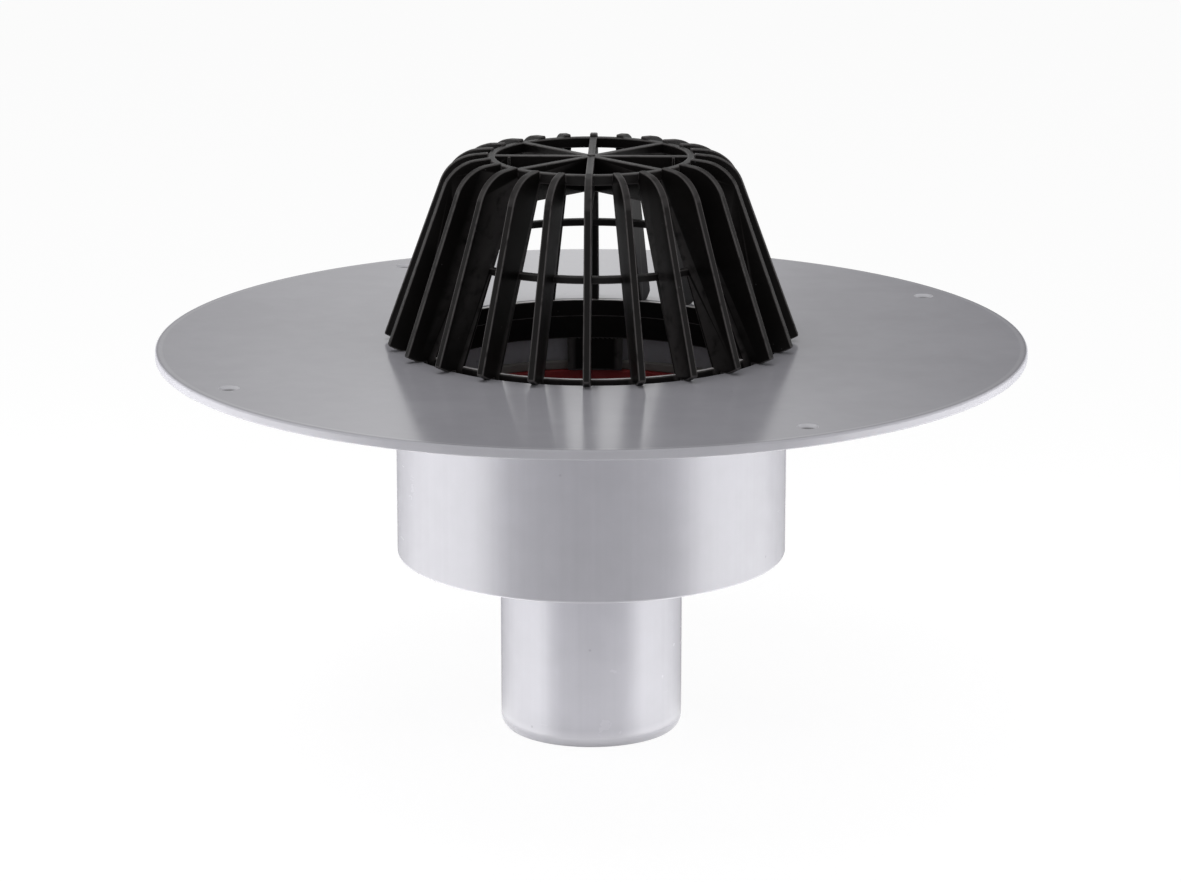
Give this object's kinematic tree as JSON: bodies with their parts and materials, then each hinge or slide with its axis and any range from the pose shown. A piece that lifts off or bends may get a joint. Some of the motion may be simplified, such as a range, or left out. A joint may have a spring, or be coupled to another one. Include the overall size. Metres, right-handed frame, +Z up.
{
  "type": "flat roof drain",
  "caption": "Flat roof drain: round flange plate, wide cup and outlet spigot in grey plastic, with a black ribbed leaf guard standing over the mouth.",
  "frame": {"origin": "on the drain's axis, at the lower end of the outlet spigot, on which it stands", "axes": "+Z up along the drain's axis, from the spigot's end to the leaf guard; the screw holes lie 30 degrees round from +X and every 90 degrees after"},
  "size_m": [0.355, 0.355, 0.2407],
  "materials": {
    "pvc_grey": "light grey rigid PVC, satin to semi-gloss",
    "carrier_grey": "warm grey moulded plastic, matt",
    "seal_red": "dark red sealing rubber",
    "guard_black": "black moulded plastic with a fine satin grain"
  },
  "bodies": {
    "root": {"flange_plate": "pvc_grey", "cup": "pvc_grey", "base_plate": "pvc_grey", "spigot": "pvc_grey", "seal_carrier": "carrier_grey", "seal_ring": "seal_red", "leaf_guard": "guard_black"}
  },
  "joints": []
}
